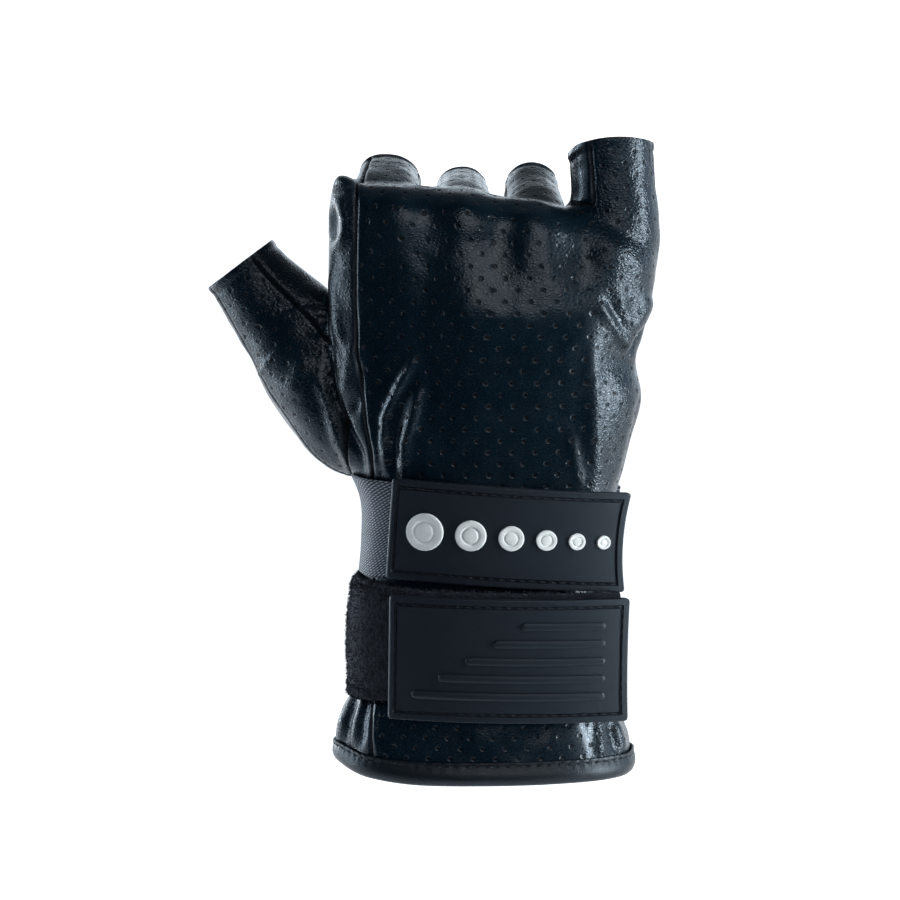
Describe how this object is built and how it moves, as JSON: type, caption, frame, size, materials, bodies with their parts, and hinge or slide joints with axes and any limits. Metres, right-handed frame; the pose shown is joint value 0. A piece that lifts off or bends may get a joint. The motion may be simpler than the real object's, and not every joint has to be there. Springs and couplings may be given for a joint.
{
  "type": "longboard slide glove",
  "caption": "Fingerless leather glove for a right hand in its worn form, thumb and little finger out, with two wrist straps that end in moulded rubber patches.",
  "frame": {"origin": "middle of the open cuff, where the forearm goes in", "axes": "+Z from the cuff up to the fingers, -Y out of the back of the hand, -X towards the thumb"},
  "size_m": [0.1357, 0.0755, 0.1948],
  "materials": {
    "perforated_leather": "glossy goatskin grain, punched",
    "smooth_leather": "glossy goatskin grain",
    "binding_leather": "satin",
    "woven_elastic": "twill woven elastic",
    "loop_pile": "brushed loop pile",
    "moulded_rubber": "satin"
  },
  "bodies": {
    "root": {"back_panel": "perforated_leather", "thumb_back": "perforated_leather", "palm_panel": "smooth_leather", "thumb_front": "smooth_leather", "index_middle_strip": "smooth_leather", "middle_ring_strip": "smooth_leather", "ring_little_strip": "smooth_leather", "cuff_binding": "binding_leather", "upper_strap": "woven_elastic", "lower_strap": "loop_pile", "upper_patch": "moulded_rubber", "lower_patch": "moulded_rubber"}
  },
  "joints": []
}
